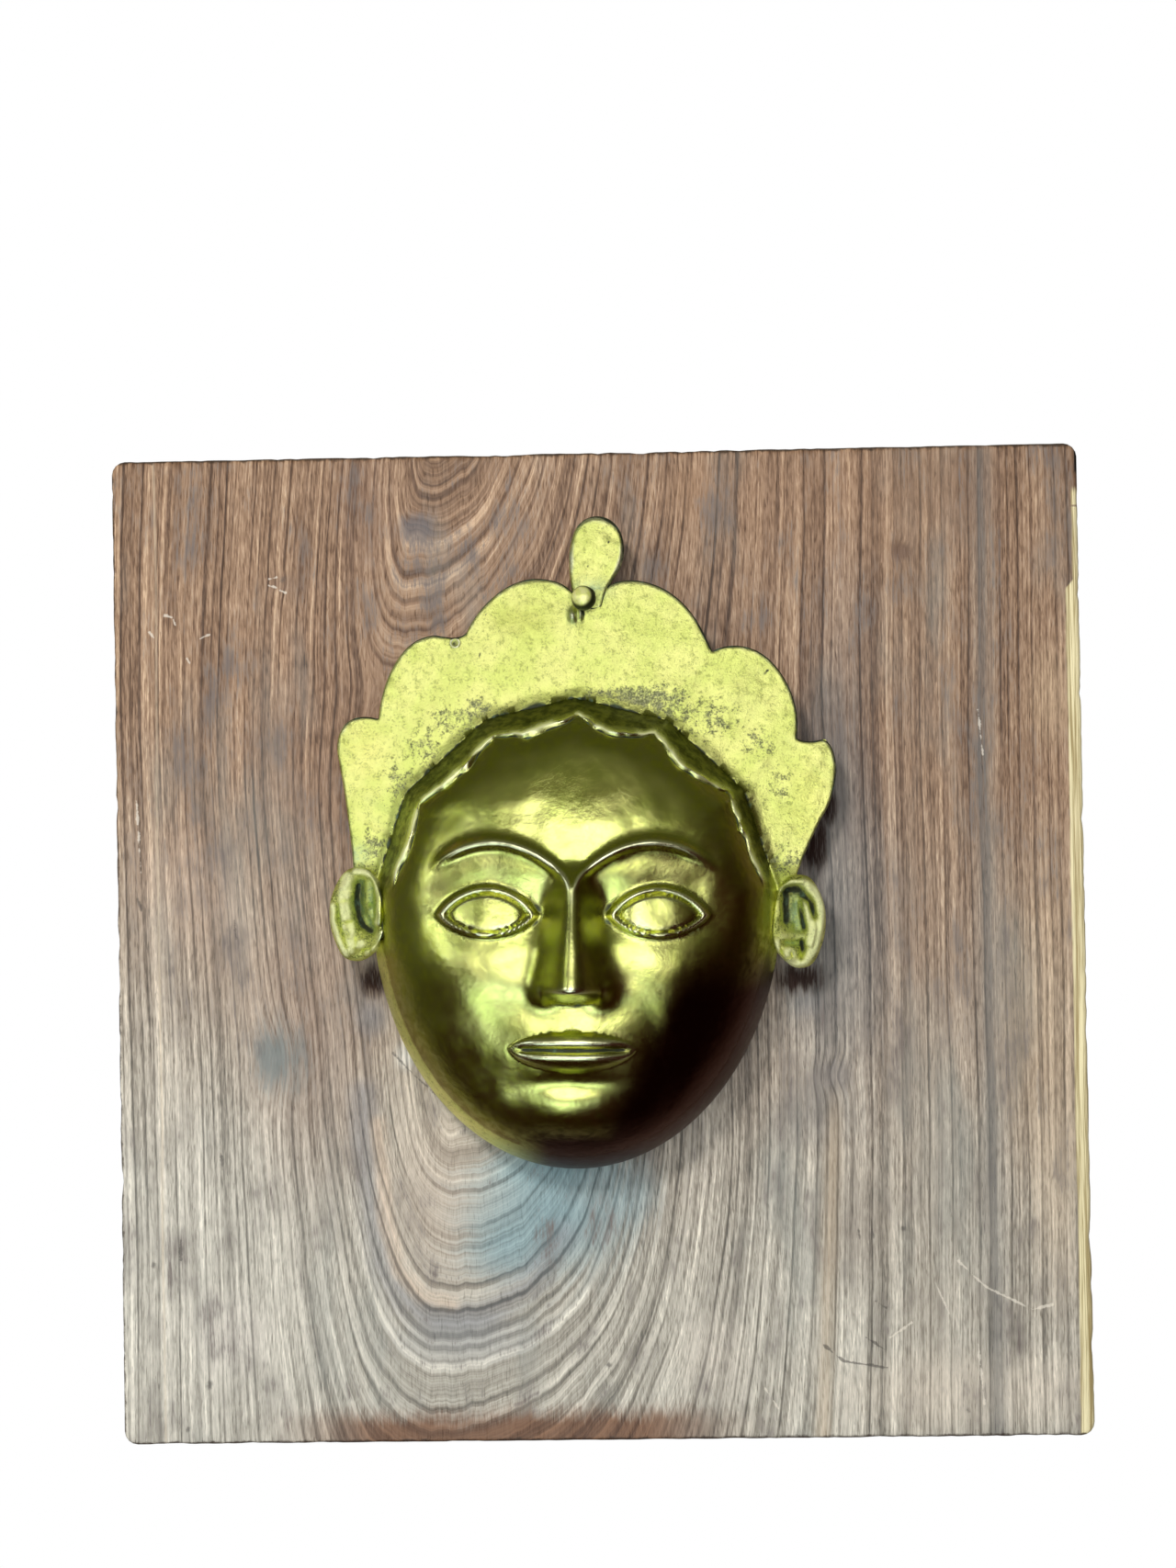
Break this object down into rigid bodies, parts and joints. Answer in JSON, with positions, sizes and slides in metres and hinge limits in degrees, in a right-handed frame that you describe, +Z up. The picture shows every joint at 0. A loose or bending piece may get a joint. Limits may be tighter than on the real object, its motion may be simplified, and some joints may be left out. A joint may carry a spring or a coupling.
{
  "type": "brass mask on a wooden board",
  "caption": "Hollow cast brass face mask with a band of hair, a scalloped crown and ears, pinned to a nearly square wooden board that hangs on a wall.",
  "frame": {"origin": "middle of the board's flat back face, which lies on the wall", "axes": "+Y into the wall, so the mask faces -Y; +Z up; +X to the right of someone looking at the mask"},
  "size_m": [0.254, 0.0699, 0.259],
  "materials": {
    "wood": "oiled dark hardwood, vertical grain, worn sheen",
    "brass": "polished on the face, finely pitted and dull in the hollows",
    "pin_brass": "worn, dark where it meets the crown"
  },
  "bodies": {
    "root": {"wooden_board": "wood", "brass_mask": "brass", "fixing_pin": "pin_brass"}
  },
  "joints": []
}
